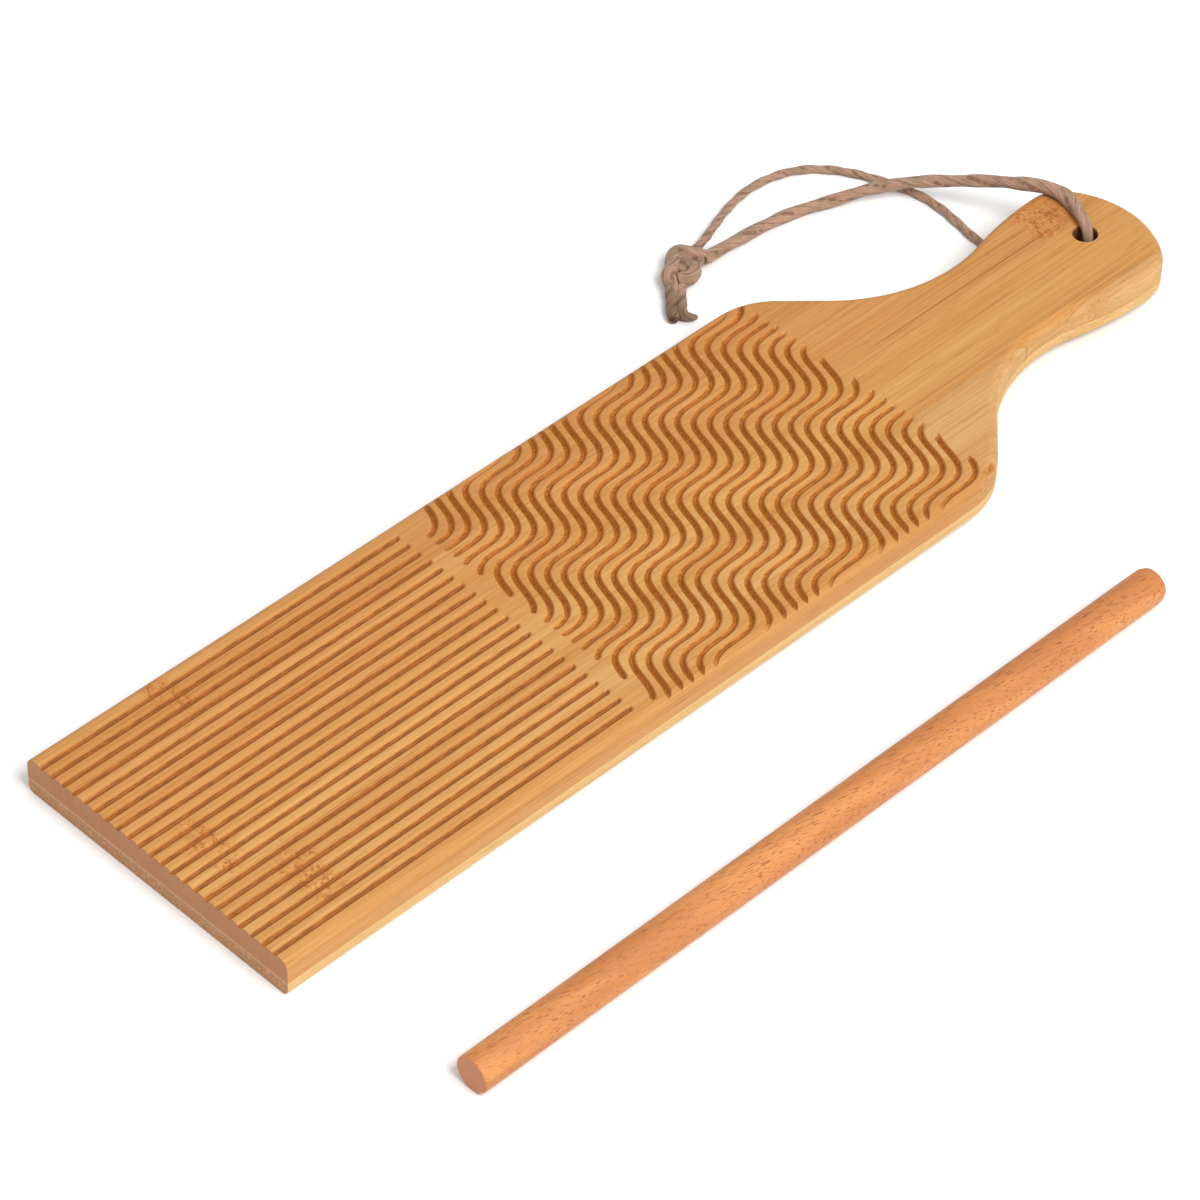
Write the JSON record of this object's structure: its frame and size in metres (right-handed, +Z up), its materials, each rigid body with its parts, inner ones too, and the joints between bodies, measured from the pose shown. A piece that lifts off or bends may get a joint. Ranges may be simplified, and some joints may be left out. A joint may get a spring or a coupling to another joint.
{
  "type": "gnocchi board",
  "caption": "Laminated bamboo gnocchi and pasta board with straight and wavy grooves, a paddle handle with a hanging loop of twine, and a loose wooden rolling dowel.",
  "frame": {"origin": "on the table, under the middle of the box round the board and its dowel, without the twine", "axes": "+X along the board from its grooved front end to the tip of the handle, +Z up; the dowel lies on the -Y side and the twine loop on the +Y side"},
  "size_m": [0.3, 0.1628, 0.0155],
  "materials": {
    "bamboo_top": "satin",
    "bamboo_bottom": "satin",
    "beech": "satin",
    "twine": "matte"
  },
  "bodies": {
    "board": {"top_strip_far": "bamboo_top", "top_strip_far_mid": "bamboo_top", "top_strip_centre": "bamboo_top", "top_strip_near_mid": "bamboo_top", "top_strip_near": "bamboo_top", "top_strip_handle_edge": "bamboo_top", "bottom_strip_far": "bamboo_bottom", "bottom_strip_far_mid": "bamboo_bottom", "bottom_strip_near_mid": "bamboo_bottom", "bottom_strip_near": "bamboo_bottom", "cord_under_handle": "twine", "cord_far_strand": "twine", "cord_near_strand": "twine", "cord_knot": "twine", "cord_tails": "twine"},
    "dowel": {"dowel": "beech"}
  },
  "joints": [
    {"name": "dowel_lift", "type": "slide", "parent": "board", "child": "dowel", "axis": [0, 0, 1], "range_m": [0, 0.12]}
  ]
}
